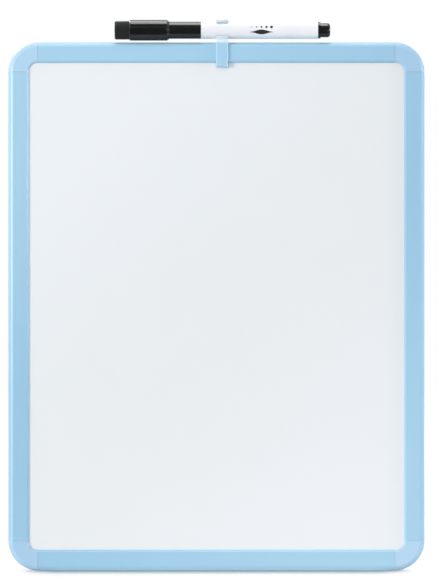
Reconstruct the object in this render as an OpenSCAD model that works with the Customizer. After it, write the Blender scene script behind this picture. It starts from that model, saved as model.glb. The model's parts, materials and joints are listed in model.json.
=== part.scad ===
// Desk whiteboard easel: a steel-faced board in a clipped plastic frame, held up by a
// folding leg, with a marker that rides above it in a sliding clip.
// Standing pose: Z = 0 is the table, +X is the reader's right, -Y faces the reader.

/* [Board] */
// Outer width of the frame
board_w = 280; // [200:1:400]
// Outer height of the frame
board_h = 355; // [300:1:500]
// Thickness of the frame, front to back
board_t = 9; // [8.5:0.1:11]
// Outer radius of the frame's corners
corner_r = 20; // [16:1:30]
// Angle that the board leans back from upright
lean = 12; // [8:0.5:15]

/* [Frame section] */
// Width of the frame rails seen from the front
rail_w = 14; // [13:0.5:15.5]
// Thickness of the lip in front of the panel
front_lip = 1.8; // [1.5:0.1:2]
// Thickness of the lip behind the panel
back_lip = 1.6; // [1.2:0.1:1.8]
// Width of the rolled bevel along the outer front edge
bevel_w = 3.4; // [2.5:0.1:4]
// Radius of that bevel
bevel_r = 4.6; // [4.2:0.1:5]
// Size of the chamfer along the inner front edge
inner_chamfer = 1.3; // [0.8:0.1:1.4]
// Radius of the outer back edge, on which the board stands
back_edge_r = 0.8; // [0.4:0.1:1.2]
// Gap that shows at the joint of a rail and a corner
seam = 0.1; // [0.05:0.01:0.2]
// Length of the spigots that plug the corners into the rails
spigot_l = 16; // [10:1:30]

/* [Panel] */
// Thickness of the painted steel writing sheet
sheet_t = 0.4; // [0.3:0.1:0.6]
// Thickness of the backing sheet
backing_t = 0.4; // [0.3:0.1:0.6]
// Distance from the frame's outer edge to the panel's edge
panel_inset = 8.4; // [8:0.1:9]

/* [Marker clip] */
// Width of the clip along the rail
clip_w = 8.2; // [6:0.1:14]
// Place of the clip's middle along the rail, from the board's middle
clip_x = 3.9; // [-80:0.1:80]
// Height of the marker's axis above the frame
marker_rise = 8.2; // [8:0.1:10]
// Wall of the spring ring that holds the marker
ring_wall = 1.1; // [0.9:0.05:1.2]
// How far the ring's upper lip reaches forward of its top
upper_wrap = 40; // [30:1:50]
// How far the ring's lower lip reaches forward of its bottom
lower_wrap = 47; // [35:1:50]
// Thickness of the clip's front tongue and back tongue
tongue_t = 1.5; // [1.2:0.1:2]
// Drop of the front tongue past the rail's inner edge
tongue_drop = 2.9; // [2.5:0.1:4]
// Play between the clip and the rail
clip_play = 0.12; // [0.1:0.01:0.2]

/* [Marker] */
// Diameter of the barrel
barrel_d = 11.7; // [11:0.1:12]
// Length of the barrel that shows behind the cap
barrel_l = 78.6; // [70:0.1:90]
// Place of the cap's mouth along the board, from the board's middle
cap_mouth_x = -10.3; // [-20:0.1:-8]
// Diameter of the cap's thin sleeve
sleeve_d = 11.6; // [11:0.1:11.7]
// Length of the cap's thin sleeve
sleeve_l = 21.2; // [18:0.1:26]
// Diameter of the cap's thick end
cap_d = 14; // [13:0.1:14.5]
// Length of the cap's thick end
cap_head_l = 25.2; // [22:0.1:30]
// Length of the taper between the two
cap_taper_l = 1.7; // [1:0.1:3]
// Diameter of the felt eraser on the cap
eraser_d = 12.4; // [11:0.1:13]
// Length of the felt eraser that shows
eraser_l = 9.9; // [8:0.1:14]
// Diameter of the end plug's flange
flange_d = 11.1; // [10.5:0.1:11.6]
// Thickness of the end plug's flange
flange_t = 1.7; // [1:0.1:3]
// Diameter of the end plug
plug_d = 9.6; // [8:0.1:10]
// Length of the end plug past its flange
plug_l = 6.6; // [5:0.1:10]
// Diameter of the felt nib
nib_d = 4; // [3:0.1:5]

/* [Stand] */
// Height of the leg's hinge up the board
hinge_z = 240; // [220:1:260]
// Angle between the open leg and the board
open_angle = 22.5; // [19:0.5:23]
// Distance of the hinge pin behind the frame
hinge_y = 4.8; // [4.6:0.1:6]
// Diameter of the hinge pin
pin_d = 3; // [2:0.1:4]
// Running clearance of the leg on its pin, on the radius
pin_play = 0.05; // [0.02:0.01:0.1]
// Thickness of the leg
leg_t = 6; // [5:0.1:6.5]
// Width of the leg under the hinge
leg_top_w = 44; // [36:1:46]
// Width of the leg at its foot
leg_foot_w = 32; // [24:1:36]
// Thickness of the leg's outer skin
leg_skin = 1.8; // [1.5:0.1:2.5]
// Thickness of the leg's rim and ribs
leg_rib = 1.8; // [1.4:0.1:2.5]
// Number of crossed rib bays along the leg
leg_bays = 5; // [3:1:8]

/* [Hidden] */
$fn = 96;

// Colours
frame_blue = [0.64, 0.80, 0.90];
clip_blue = [0.68, 0.83, 0.93];
sheet_white = [0.93, 0.94, 0.95];
core_brown = [0.52, 0.42, 0.32];
backing_grey = [0.62, 0.64, 0.66];
bright_steel = [0.75, 0.76, 0.78];
cap_black = [0.07, 0.07, 0.08];
felt_grey = [0.15, 0.15, 0.16];
barrel_white = [0.96, 0.96, 0.97];
holder_grey = [0.80, 0.81, 0.83];
ink_black = [0.10, 0.10, 0.12];
liner_white = [0.88, 0.88, 0.86];
rubber_grey = [0.24, 0.25, 0.27];

// Small amount by which a cutting tool runs past the face that it cuts
over = 1;

// Frame section: u runs inward from the outer edge, d from the back plane (0) forward
bevel_c = sqrt(bevel_r * bevel_r - (bevel_r - bevel_w) * (bevel_r - bevel_w));
panel_front = -board_t + front_lip;
panel_back = -back_lip;
panel_t = panel_back - panel_front;
panel_edge_play = 0.8;
slot_u = panel_inset - panel_edge_play;
back_lip_set_in = 2;
back_lip_w = rail_w - back_lip_set_in;
chamber_u = 1.7;
chamber_wall = 1.4;
chamber_w = slot_u - chamber_wall - chamber_u;
chamber_r = 1.6;
chamber_step = 0.2;
spigot_slack = 0.05;

// The board stands on its rounded back edge, so that its lowest point is at Z = 0
edge_drop = back_edge_r * (sin(lean) + cos(lean) - 1);

// The leg leans away from the board, and its foot is cut level with the table
leg_slope = open_angle - lean;
hinge_height = hinge_z * cos(lean) - hinge_y * sin(lean) - edge_drop;
hinge_back = hinge_z * sin(lean) + hinge_y * cos(lean);
folded_gap = 0.4;
sole_t = 3;
foot_inner = folded_gap - hinge_y;
foot_outer = leg_t / 2 + sole_t;
foot_reach = foot_outer * cos(leg_slope)
    + (hinge_height + foot_outer * sin(leg_slope)) * tan(leg_slope);

// Front and back of the standing object, so that Y = 0 is halfway between them
front_y = -board_t * cos(lean) + bevel_w * sin(lean);
back_y = hinge_back + foot_reach;
middle_y = (front_y + back_y) / 2;

// Clip
ring_r = barrel_d / 2 + 0.1;
ring_out = ring_r + ring_wall;
marker_d = -board_t / 2;
web_t = 1.2;
lip_bead_r = 0.65;
lip_corner_r = 1.5;
lip_rise = 1;
hook_play = 0.25;
tongue_bevel = 0.85;
tongue_end_r = 0.8;
shoulder_r = 2.2;
shoulder_drop = 5;
neck_w = 6.4;

// Marker, along its own axis from the cap's mouth
neck_r = 4.95;
neck_l = 16;
cap_play = 0.05;
felt_play = 0.05;
cap_gap = 0.1;
barrel_bore_r = 4.75;
holder_r = 3.9;
holder_land_r = 4.35;
holder_land_l = 11;
holder_nose_l = 15.5;
nose_wall = 0.8;
nib_reach = 4.5;
nib_tail = 14;
cap_l = sleeve_l + cap_taper_l + cap_head_l;
cap_bore_r = 5.6;
sleeve_step = 1;
cap_end_t = 4.2;
cap_edge = 0.5;
eraser_edge = 0.6;
eraser_stem_d = 8;
eraser_stem_l = 3;
liner_r = 4.4;
liner_l = 20;
liner_floor = 1.2;
bore_start = 1;
plug_spigot_l = 9;
plug_round_r = 2;

// Bracket and leg
plate_w = 66;
plate_h = 44;
plate_t = 2.5;
plate_r = 5;
plate_face = panel_back + plate_t;
stop_gap = 0.15;
knuckle_r = 3.5;
knuckle_w = 24;
ear_t = 5;
ear_gap = 0.3;
ear_r = 4;
ear_flare = 3;
ear_root = 0.5;
heel_l = 9;
heel_t = 2.5;
screw_x = 27;
screw_z = 15;
screw_r = 1.5;
screw_head_r = 2.8;
screw_head_t = 1.8;
screw_l = 5.4;
recess_w = 3.4;
recess_slot = 0.7;
recess_deep = 0.9;
pin_head_r = 2.5;
pin_head_t = 1;
leg_shoulder = 10;
leg_round_r = 3;
leg_edge = 0.8;
boot_h = 12;
boot_wall = 2.4;
leg_l = (hinge_height - sole_t) / cos(leg_slope);

// ---------- placing ----------

// From the board's own frame (y = 0 its back plane, z = 0 its lower edge) to the table's
module on_board() {
    translate([0, -middle_y, -edge_drop]) rotate([-lean, 0, 0]) children();
}

// From the folded leg's frame, with its hinge axis at the origin, to the open leg's place
module on_leg() {
    on_board() translate([0, hinge_y, hinge_z]) rotate([open_angle, 0, 0]) children();
}

// A level frame inside the leg's, with z = 0 at the table
module level_in_leg() {
    rotate([-leg_slope, 0, 0]) translate([0, 0, -hinge_height]) children();
}

// The marker's frame: x along the barrel from the cap's mouth
module on_marker() {
    on_board() translate([cap_mouth_x, marker_d, board_h + marker_rise]) children();
}

// Turns a half profile (radius, place along x) about the x axis
module revolve_x() {
    rotate([0, 90, 0]) rotate_extrude() children();
}

// Extrudes a side view (y, z) along x, centred
module extrude_x(width) {
    rotate([90, 0, 90]) linear_extrude(width, center = true) children();
}

// Extrudes a front view (x, z) from one depth back to another
module extrude_y(y0, y1) {
    translate([0, y1, 0]) rotate([90, 0, 0]) linear_extrude(y1 - y0) children();
}

module rounded_rect(width, height, radius) {
    translate([radius, 0]) square([width - 2 * radius, height]);
    translate([0, radius]) square([width, height - 2 * radius]);
    for (x = [radius, width - radius], y = [radius, height - radius])
        translate([x, y]) circle(radius);
}

module centred_rounded_rect(width, height, radius) {
    translate([-width / 2, -height / 2]) rounded_rect(width, height, radius);
}

// ---------- frame ----------

// Outside of the frame's section, grown all round by play
module rail_outline(play = 0) {
    difference() {
        translate([-play, -board_t - play])
            square([rail_w + 2 * play, board_t + 2 * play]);
        difference() {
            translate([-play - over, -board_t - play - over])
                square([bevel_r + play + over, bevel_c + play + over]);
            translate([bevel_r, -board_t + bevel_c]) circle(bevel_r + play);
        }
        difference() {
            translate([-play - over, -back_edge_r])
                square([back_edge_r + play + over, back_edge_r + play + over]);
            translate([back_edge_r, -back_edge_r]) circle(back_edge_r + play);
        }
    }
}

// Hollow along the rail, and with slack the spigot that plugs it
module chamber(slack = 0) {
    translate([chamber_u + slack, panel_front + chamber_step])
        rounded_rect(chamber_w - 2 * slack, panel_t - chamber_step, chamber_r);
}

// Section of rail and corner: the panel's slot, the back lip and the inner chamfer
module frame_section() {
    difference() {
        rail_outline();
        translate([slot_u, panel_front]) square([rail_w - slot_u + over, panel_t]);
        translate([back_lip_w, panel_back - over])
            square([rail_w - back_lip_w + over, back_lip + 2 * over]);
        polygon([
            [rail_w - inner_chamfer, -board_t],
            [rail_w - inner_chamfer - over, -board_t - over],
            [rail_w + over, -board_t - over],
            [rail_w + over, -board_t + inner_chamfer + over],
        ]);
    }
}

// One side of the frame: side 0 is the left, then clockwise as the reader sees it
module rail(side) {
    upright = side % 2 == 0;
    rail_l = (upright ? board_h : board_w) - 2 * corner_r - 2 * seam;
    reach = (upright ? board_w : board_h) / 2;
    color(frame_blue) on_board() translate([0, 0, board_h / 2]) rotate([0, 90 * side, 0])
        translate([-reach, 0, -rail_l / 2]) linear_extrude(rail_l) difference() {
            frame_section();
            chamber();
        }
}

// One corner: corner 0 is the lower left, then clockwise
module corner(number) {
    sign_x = number < 2 ? -1 : 1;
    sign_z = (number == 0 || number == 3) ? -1 : 1;
    color(frame_blue) on_board()
        translate([
            sign_x * (board_w / 2 - corner_r), 0,
            board_h / 2 + sign_z * (board_h / 2 - corner_r)
        ])
        rotate([0, 90 * (number + 1), 0]) {
            rotate([-90, 0, 0]) rotate_extrude(angle = 90)
                translate([corner_r, 0]) mirror([1, 0]) frame_section();
            translate([corner_r, 0, 0]) mirror([1, 0, 0]) linear_extrude(spigot_l)
                chamber(spigot_slack);
            translate([0, 0, -corner_r]) rotate([0, -90, 0]) linear_extrude(spigot_l)
                chamber(spigot_slack);
        }
}

// ---------- panel ----------

module panel_layer(front, thickness) {
    translate([0, 0, board_h / 2]) extrude_y(front, front + thickness)
        centred_rounded_rect(
            board_w - 2 * panel_inset, board_h - 2 * panel_inset, corner_r - panel_inset
        );
}

module screw_places() {
    for (x = [-screw_x, screw_x], z = [-screw_z, screw_z])
        translate([x, 0, hinge_z + z]) rotate([-90, 0, 0]) children();
}

module writing_sheet() {
    color(sheet_white) on_board() panel_layer(panel_front, sheet_t);
}

module panel_core() {
    color(core_brown) on_board() difference() {
        panel_layer(panel_front + sheet_t, panel_t - sheet_t - backing_t);
        screw_places() translate([0, 0, plate_face - screw_l]) cylinder(r = screw_r, h = screw_l);
    }
}

module backing_sheet() {
    color(backing_grey) on_board() difference() {
        panel_layer(panel_back - backing_t, backing_t);
        screw_places() translate([0, 0, plate_face - screw_l]) cylinder(r = screw_r, h = screw_l);
    }
}

// ---------- stand ----------

// Side view of one hinge ear, flared where it grows out of the plate's face
module ear_outline() {
    face = plate_face - hinge_y;
    foot = ear_r + ear_flare;
    circle(ear_r);
    polygon([
        [face - ear_root, -foot],
        [face, -foot],
        [0, -ear_r],
        [0, ear_r],
        [face, foot],
        [face - ear_root, foot],
    ]);
}

module stand_bracket() {
    color(frame_blue) on_board() difference() {
        union() {
            translate([0, 0, hinge_z]) extrude_y(panel_back, plate_face)
                centred_rounded_rect(plate_w, plate_h, plate_r);
            for (side = [-1, 1])
                translate([side * (knuckle_w / 2 + ear_gap + ear_t / 2), hinge_y, hinge_z])
                    extrude_x(ear_t) ear_outline();
        }
        translate([0, hinge_y, hinge_z]) rotate([0, 90, 0])
            cylinder(d = pin_d, h = plate_w, center = true);
        screw_places() translate([0, 0, panel_back - over])
            cylinder(r = screw_r, h = plate_t + 2 * over);
    }
}

module stand_screws() {
    color(bright_steel) on_board() screw_places() difference() {
        translate([0, 0, plate_face - screw_l]) {
            cylinder(r = screw_r, h = screw_l + screw_head_t / 2);
            translate([0, 0, screw_l]) cylinder(r = screw_head_r, h = screw_head_t);
        }
        for (turn = [0, 90])
            translate([0, 0, plate_face + screw_head_t]) rotate([0, 0, turn])
                cube([recess_w, recess_slot, 2 * recess_deep], center = true);
    }
}

module hinge_pin() {
    shaft_l = knuckle_w + 2 * ear_gap + 2 * ear_t;
    color(bright_steel) on_board() translate([0, hinge_y, hinge_z]) rotate([0, 90, 0]) {
        cylinder(d = pin_d, h = shaft_l + pin_head_t, center = true);
        for (side = [-1, 1])
            translate([0, 0, side * (shaft_l + pin_head_t) / 2])
                cylinder(r = pin_head_r, h = pin_head_t, center = true);
    }
}

// Half width of the leg at a distance below its hinge
function leg_half(down) =
    (leg_top_w + (leg_foot_w - leg_top_w) * (down - leg_shoulder) / (leg_l - leg_shoulder)) / 2;

// Front view of the leg, drawn in by inset from its edges
module leg_outline(inset = 0) {
    top = leg_shoulder + inset;
    bottom = leg_l - inset;
    hull() for (side = [-1, 1], down = [top + leg_round_r, bottom - leg_round_r])
        translate([side * (leg_half(down) - inset - leg_round_r), -down])
            circle(leg_round_r, $fn = 32);
}

// Crossed ribs between the leg's rims
module leg_ribs() {
    rib_top = leg_shoulder + 2 * leg_rib;
    bay_l = (leg_l - boot_h - rib_top) / leg_bays;
    for (bay = [0 : leg_bays - 1], way = [-1, 1]) {
        z0 = rib_top + bay * bay_l;
        z1 = z0 + bay_l;
        run = [way * (leg_half(z0) + leg_half(z1)), -bay_l];
        translate([-way * leg_half(z0), 0, -z0])
            rotate([0, atan2(bay_l, run[0]), 0])
            translate([0, -leg_t / 2, -leg_rib / 2])
            cube([norm(run), leg_t - leg_skin / 2, leg_rib]);
    }
}

// Side view of the knuckle, its arm and the heel that stops the leg against the plate
module knuckle_outline() {
    circle(knuckle_r);
    translate([-leg_t / 2, -leg_shoulder - leg_rib]) square([leg_t, leg_shoulder + leg_rib]);
    rotate(-open_angle) translate([plate_face + stop_gap - hinge_y, -over])
        square([heel_t, heel_l + over]);
}

module stand_leg() {
    color(frame_blue) on_leg() difference() {
        union() {
            // Tray: skin, rim and ribs, open towards the board
            difference() {
                hull() {
                    extrude_y(-leg_t / 2, leg_t / 2 - leg_edge) leg_outline();
                    extrude_y(leg_t / 2 - leg_edge, leg_t / 2) leg_outline(leg_edge);
                }
                extrude_y(-leg_t / 2 - over, leg_t / 2 - leg_skin) leg_outline(leg_rib);
            }
            intersection() {
                leg_ribs();
                extrude_y(-leg_t / 2, leg_t / 2) leg_outline(leg_rib / 2);
            }
            extrude_x(knuckle_w) knuckle_outline();
        }
        rotate([0, 90, 0])
            cylinder(r = pin_d / 2 + pin_play, h = knuckle_w + 2 * over, center = true);
    }
}

// Rubber boot round the leg's end, cut level with the table
module leg_foot() {
    half_w = leg_foot_w / 2 + boot_wall;
    spare = 2 * sole_t;
    color(rubber_grey) on_leg() difference() {
        translate([0, 0, -leg_l - spare]) extrude_y(foot_inner, foot_outer)
            translate([-half_w, 0]) square([2 * half_w, boot_h + spare]);
        extrude_y(-leg_t / 2, leg_t / 2) leg_outline();
        level_in_leg() translate([-leg_top_w, 0, -leg_top_w]) cube([2 * leg_top_w, board_h, leg_top_w]);
    }
}

// ---------- marker clip ----------

// Room that the clip leaves for the rail, turned to the clip's side view
module clip_room() {
    rotate(-90) difference() {
        rail_outline(clip_play);
        translate([back_lip_w + clip_play, panel_back + hook_play]) square(rail_w);
    }
}

// Side view: x is depth, y is height above the frame's top edge
module clip_section() {
    front = -board_t - clip_play - tongue_t;
    back = clip_play + tongue_t;
    saddle_top = clip_play + web_t;
    tongue_end = -rail_w - tongue_drop;
    barb_end = -rail_w;
    lip_w = panel_front - hook_play - front;
    axis = [marker_d, marker_rise];
    lips = [[-sin(upper_wrap), cos(upper_wrap)], [-sin(lower_wrap), -cos(lower_wrap)]];
    difference() {
        union() {
            // Saddle over the rail, with its front tongue and its barbed back tongue
            translate([front, -shoulder_drop])
                rounded_rect(back - front, shoulder_drop + saddle_top, shoulder_r);
            translate([front, tongue_end + tongue_end_r])
                square([lip_w, -tongue_end - tongue_end_r - shoulder_r]);
            translate([front + tongue_end_r, tongue_end])
                square([lip_w - tongue_end_r, tongue_end_r]);
            translate([front + tongue_end_r, tongue_end + tongue_end_r]) circle(tongue_end_r);
            translate([panel_back + hook_play, barb_end])
                square([back - panel_back - hook_play, -barb_end - shoulder_r]);
            // Neck and spring ring
            translate([marker_d - neck_w / 2, 0]) square([neck_w, marker_rise]);
            translate(axis) circle(ring_out);
        }
        translate(axis) circle(ring_r);
        translate(axis)
            polygon([[0, 0], 3 * ring_out * lips[0], [-5 * ring_out, 0], 3 * ring_out * lips[1]]);
        clip_room();
    }
    // Rolled lips that lead the barrel in
    for (lip = lips)
        translate(axis + (ring_r + lip_bead_r) * lip) circle(lip_bead_r);
}

// Cut that rounds the front corners of one lip, seen from above
module lip_corners(wrap, bottom) {
    front = marker_d - (ring_r + lip_bead_r) * sin(wrap) - lip_bead_r;
    for (side = [0, 1])
        mirror([side, 0, 0])
            translate([clip_w / 2 - lip_corner_r, front + lip_corner_r, bottom])
            linear_extrude(ring_out) difference() {
                translate([0, -lip_corner_r - over]) square(lip_corner_r + over);
                circle(lip_corner_r);
            }
}

module marker_clip() {
    color(clip_blue) on_board() translate([clip_x, 0, board_h]) difference() {
        extrude_x(clip_w) clip_section();
        // Bevels along the tongue's two front edges
        for (side = [-1, 1])
            translate([side * clip_w / 2, -board_t - clip_play - tongue_t, -rail_w / 2])
                rotate([0, 0, 45])
                cube([tongue_bevel, tongue_bevel, 3 * rail_w], center = true);
        lip_corners(upper_wrap, marker_rise);
        lip_corners(lower_wrap, marker_rise - ring_out + lip_rise);
    }
}

// ---------- marker ----------

// All profiles here are (radius, place along the axis)

module marker_barrel() {
    color(barrel_white) on_marker() revolve_x() difference() {
        union() {
            square([barrel_d / 2, barrel_l]);
            translate([0, -neck_l]) square([neck_r, neck_l + over]);
        }
        translate([-over, bore_start]) square([barrel_bore_r + over, barrel_l]);
        translate([-over, -neck_l - over]) square([holder_r + over, neck_l + bore_start + 2 * over]);
    }
}

module marker_end_plug() {
    color(cap_black) on_marker() revolve_x() {
        translate([0, barrel_l - plug_spigot_l]) square([barrel_bore_r, plug_spigot_l + over]);
        translate([0, barrel_l]) square([flange_d / 2, flange_t]);
        translate([0, barrel_l + flange_t - over]) square([plug_d / 2, plug_l + over - plug_round_r]);
        translate([0, barrel_l + flange_t]) square([plug_d / 2 - plug_round_r, plug_l]);
        translate([plug_d / 2 - plug_round_r, barrel_l + flange_t + plug_l - plug_round_r])
            intersection() {
                circle(plug_round_r);
                square(plug_round_r);
            }
    }
}

// Ink reservoir: a felt rod from the bore's shoulder to the end plug, with the nib's tail in it
module marker_reservoir() {
    color(ink_black) on_marker() revolve_x() difference() {
        translate([0, bore_start]) square([barrel_bore_r, barrel_l - plug_spigot_l - bore_start]);
        translate([-over, bore_start - over])
            square([nib_d / 2 + felt_play + over, nib_tail - bore_start + over]);
    }
}

// Nose that holds the nib: its shank sits in the neck, the cap's liner seals on its land,
// and its cone narrows to the nib
module marker_nib_holder() {
    color(holder_grey) on_marker() revolve_x() difference() {
        polygon([
            [0, bore_start],
            [holder_r, bore_start],
            [holder_r, -neck_l],
            [holder_land_r, -neck_l],
            [holder_land_r, -neck_l - holder_land_l],
            [nib_d / 2 + nose_wall, -neck_l - holder_nose_l],
            [0, -neck_l - holder_nose_l],
        ]);
        translate([-over, -neck_l - holder_nose_l - over])
            square([nib_d / 2 + over, neck_l + holder_nose_l + bore_start + 2 * over]);
    }
}

// Bullet nib, from its rounded tip back into the reservoir
module marker_nib() {
    tip = -neck_l - holder_nose_l - nib_reach;
    color(ink_black) on_marker() revolve_x() {
        translate([0, tip + nib_d / 2]) square([nib_d / 2, nib_tail - tip - nib_d / 2]);
        intersection() {
            translate([0, tip + nib_d / 2]) circle(nib_d / 2);
            translate([0, tip - over]) square(nib_d);
        }
    }
}

// Cap: thick end, taper and thin sleeve, hollow from the mouth
module marker_cap() {
    color(cap_black) on_marker() revolve_x() difference() {
        polygon([
            [0, -cap_gap],
            [sleeve_d / 2, -cap_gap],
            [sleeve_d / 2, -sleeve_l],
            [cap_d / 2, -sleeve_l - cap_taper_l],
            [cap_d / 2, -cap_l + cap_edge],
            [cap_d / 2 - cap_edge, -cap_l],
            [0, -cap_l],
        ]);
        translate([-over, -sleeve_l - cap_taper_l - over])
            square([neck_r + cap_play + over, sleeve_l + cap_taper_l + 2 * over]);
        translate([-over, -cap_l + cap_end_t])
            square([cap_bore_r + over, cap_head_l - cap_end_t - sleeve_step]);
        translate([-over, -cap_l - over])
            square([eraser_stem_d / 2 + felt_play + over, eraser_stem_l + over]);
    }
}

// Soft cup inside the cap that seals round the nib holder
module cap_liner() {
    color(liner_white) on_marker() revolve_x() difference() {
        translate([0, -cap_l + cap_end_t]) square([cap_bore_r, liner_l]);
        translate([-over, -cap_l + cap_end_t + liner_floor]) square([liner_r + over, liner_l]);
    }
}

// Felt eraser, glued by its stem into the cap's end
module cap_eraser() {
    color(felt_grey) on_marker() revolve_x() polygon([
        [0, -cap_l + eraser_stem_l],
        [eraser_stem_d / 2, -cap_l + eraser_stem_l],
        [eraser_stem_d / 2, -cap_l],
        [eraser_d / 2, -cap_l],
        [eraser_d / 2, -cap_l - eraser_l + eraser_edge],
        [eraser_d / 2 - eraser_edge, -cap_l - eraser_l],
        [0, -cap_l - eraser_l],
    ]);
}

writing_sheet();
panel_core();
backing_sheet();
rail(0);  // rail_left
rail(1);  // rail_top
rail(2);  // rail_right
rail(3);  // rail_bottom
corner(0);  // corner_bottom_left
corner(1);  // corner_top_left
corner(2);  // corner_top_right
corner(3);  // corner_bottom_right
stand_bracket();
stand_screws();
hinge_pin();
stand_leg();
leg_foot();
marker_clip();
marker_barrel();
marker_end_plug();
marker_reservoir();
marker_nib_holder();
marker_nib();
marker_cap();
cap_liner();
cap_eraser();
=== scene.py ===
"""Desk whiteboard easel: finishes, felt, print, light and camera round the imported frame.

The frame holds every piece at its real size and place, in metres: Z = 0 is the table, +X is the
reader's right and -Y faces the reader. This script dresses its pieces in their materials, rounds
the edges of the mouldings, grows the felt, lays the print on the barrel and sets the studio.
"""

import json
import logging
import math
from collections.abc import Callable, Sequence
from dataclasses import dataclass, field
from enum import Enum

import bmesh
import bpy
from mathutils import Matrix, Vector


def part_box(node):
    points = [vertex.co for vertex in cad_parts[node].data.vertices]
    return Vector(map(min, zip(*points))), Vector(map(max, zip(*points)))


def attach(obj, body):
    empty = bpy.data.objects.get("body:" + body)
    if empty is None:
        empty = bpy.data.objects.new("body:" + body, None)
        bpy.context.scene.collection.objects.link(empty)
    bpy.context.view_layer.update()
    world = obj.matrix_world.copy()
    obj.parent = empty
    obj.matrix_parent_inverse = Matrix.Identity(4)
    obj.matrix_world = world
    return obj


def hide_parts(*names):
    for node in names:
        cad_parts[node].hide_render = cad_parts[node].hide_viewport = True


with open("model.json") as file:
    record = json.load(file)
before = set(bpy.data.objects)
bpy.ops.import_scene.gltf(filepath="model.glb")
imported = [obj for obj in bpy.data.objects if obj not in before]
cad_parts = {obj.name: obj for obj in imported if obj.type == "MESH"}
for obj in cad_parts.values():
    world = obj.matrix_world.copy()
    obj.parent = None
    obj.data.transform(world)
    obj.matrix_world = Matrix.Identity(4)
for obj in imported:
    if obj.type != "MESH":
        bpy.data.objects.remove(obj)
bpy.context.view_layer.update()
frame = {"nodes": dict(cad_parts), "record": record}

MM = 0.001
SAME_PLACE = 0.002 * MM   # vertices nearer than this are one
SHARP = math.radians(40)  # an edge that turns more than this is rounded
FLAT = math.radians(1)    # an edge that turns less than this is only a triangle's
log = logging.getLogger("easel")

Tree = bpy.types.NodeTree
GeometryTree = bpy.types.GeometryNodeTree
Node = bpy.types.Node
Socket = bpy.types.NodeSocket
Source = Node | Socket  # a node stands for its first output
Inputs = dict[str, Socket]
Material = bpy.types.Material
Object = bpy.types.Object


# ---- helpers


def linear(code: str) -> tuple[float, float, float, float]:
    """Turns an sRGB colour, "#rrggbb", into linear light, with an alpha of 1."""
    parts = [int(code[i : i + 2], 16) / 255 for i in (1, 3, 5)]
    light = [c / 12.92 if c <= 0.04045 else ((c + 0.055) / 1.055) ** 2.4 for c in parts]
    return (*light, 1.0)


def add(tree: Tree, kind: str, inputs: dict | None = None, **settings: str | bool) -> Node:
    """Adds a node with its settings, values and links.

    Args:
        tree: the tree that gets the node.
        kind: the node's type, such as "ShaderNodeTexNoise".
        inputs: by the name or number of the input, a value, a socket to link, a node whose first
            output is linked, or a list of these.
        **settings: properties of the node itself.

    Returns:
        The new node.
    """
    node = tree.nodes.new(kind)
    for name, value in settings.items():
        setattr(node, name, value)
    for key, given in (inputs or {}).items():
        for value in given if isinstance(given, list) else [given]:
            value = value.outputs[0] if isinstance(value, Node) else value
            if isinstance(value, Socket):
                tree.links.new(value, node.inputs[key])
            else:
                node.inputs[key].default_value = value
    return node


def bare_tree(owner: Material | bpy.types.World) -> Tree:
    """Gives a material or world a node tree with nothing in it."""
    owner.use_nodes = True
    owner.node_tree.nodes.clear()
    return owner.node_tree


def per_mm(size: float) -> float:
    """Texture scale, in repeats a metre, of a pattern whose features are size mm wide."""
    return 1.0 / (size * MM)


def new_object(name: str, mesh: bpy.types.Mesh) -> Object:
    """Links a new object that holds the mesh."""
    made = bpy.data.objects.new(name, mesh)
    bpy.context.scene.collection.objects.link(made)
    return made


def plain_object(name: str, shape: bmesh.types.BMesh) -> Object:
    """Turns a closed shape into an object, with its faces outwards.

    Args:
        name: the object's name.
        shape: the shape, which is freed.

    Returns:
        The object.
    """
    bmesh.ops.recalc_face_normals(shape, faces=shape.faces)
    mesh = bpy.data.meshes.new(name)
    shape.to_mesh(mesh)
    shape.free()
    return new_object(name, mesh)


def baked(maker: Object, name: str) -> Object:
    """Turns an object with modifiers into a plain one.

    Args:
        maker: the object, which is removed.
        name: the plain object's name.

    Returns:
        The plain object.
    """
    evaluated = maker.evaluated_get(bpy.context.evaluated_depsgraph_get())
    mesh = bpy.data.meshes.new_from_object(evaluated)
    mesh.name = name
    bpy.data.objects.remove(maker)
    return new_object(name, mesh)


def round_off(maker: Object, radius: float, segments: int) -> None:
    """Rounds an object's sharp edges.

    Args:
        maker: the object.
        radius: radius of the rounding, in mm.
        segments: faces across the rounding.
    """
    rounding = maker.modifiers.new("rounding", "BEVEL")
    rounding.width = radius * MM
    rounding.segments = segments
    rounding.limit_method = "ANGLE"
    rounding.angle_limit = SHARP
    rounding.harden_normals = True


def grow(
    maker: Object, values: dict[str, int | float | Sequence[float]],
    draw: Callable[[GeometryTree, Inputs], Source], material: Material,
) -> None:
    """Puts Geometry Nodes on an object.

    Args:
        maker: the object.
        values: the tree's inputs, by name.
        draw: adds nodes to the tree and returns the shape, or instances that make it up.
        material: the shape's material.
    """
    tree = bpy.data.node_groups.new(maker.name, "GeometryNodeTree")
    for way in ("INPUT", "OUTPUT"):
        tree.interface.new_socket("Geometry", in_out=way, socket_type="NodeSocketGeometry")
    kinds = {int: "NodeSocketInt", float: "NodeSocketFloat"}
    sockets = {}
    for name, value in values.items():
        kind = kinds.get(type(value), "NodeSocketVector")
        sockets[name] = tree.interface.new_socket(name, socket_type=kind)
    shape = draw(tree, add(tree, "NodeGroupInput").outputs)
    real = add(tree, "GeometryNodeRealizeInstances", {"Geometry": shape})
    finished = add(tree, "GeometryNodeSetMaterial", {"Geometry": real, "Material": material})
    add(tree, "NodeGroupOutput", {"Geometry": finished})
    grower = maker.modifiers.new(maker.name, "NODES")
    grower.node_group = tree
    for name, value in values.items():
        grower[sockets[name].identifier] = value


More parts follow.
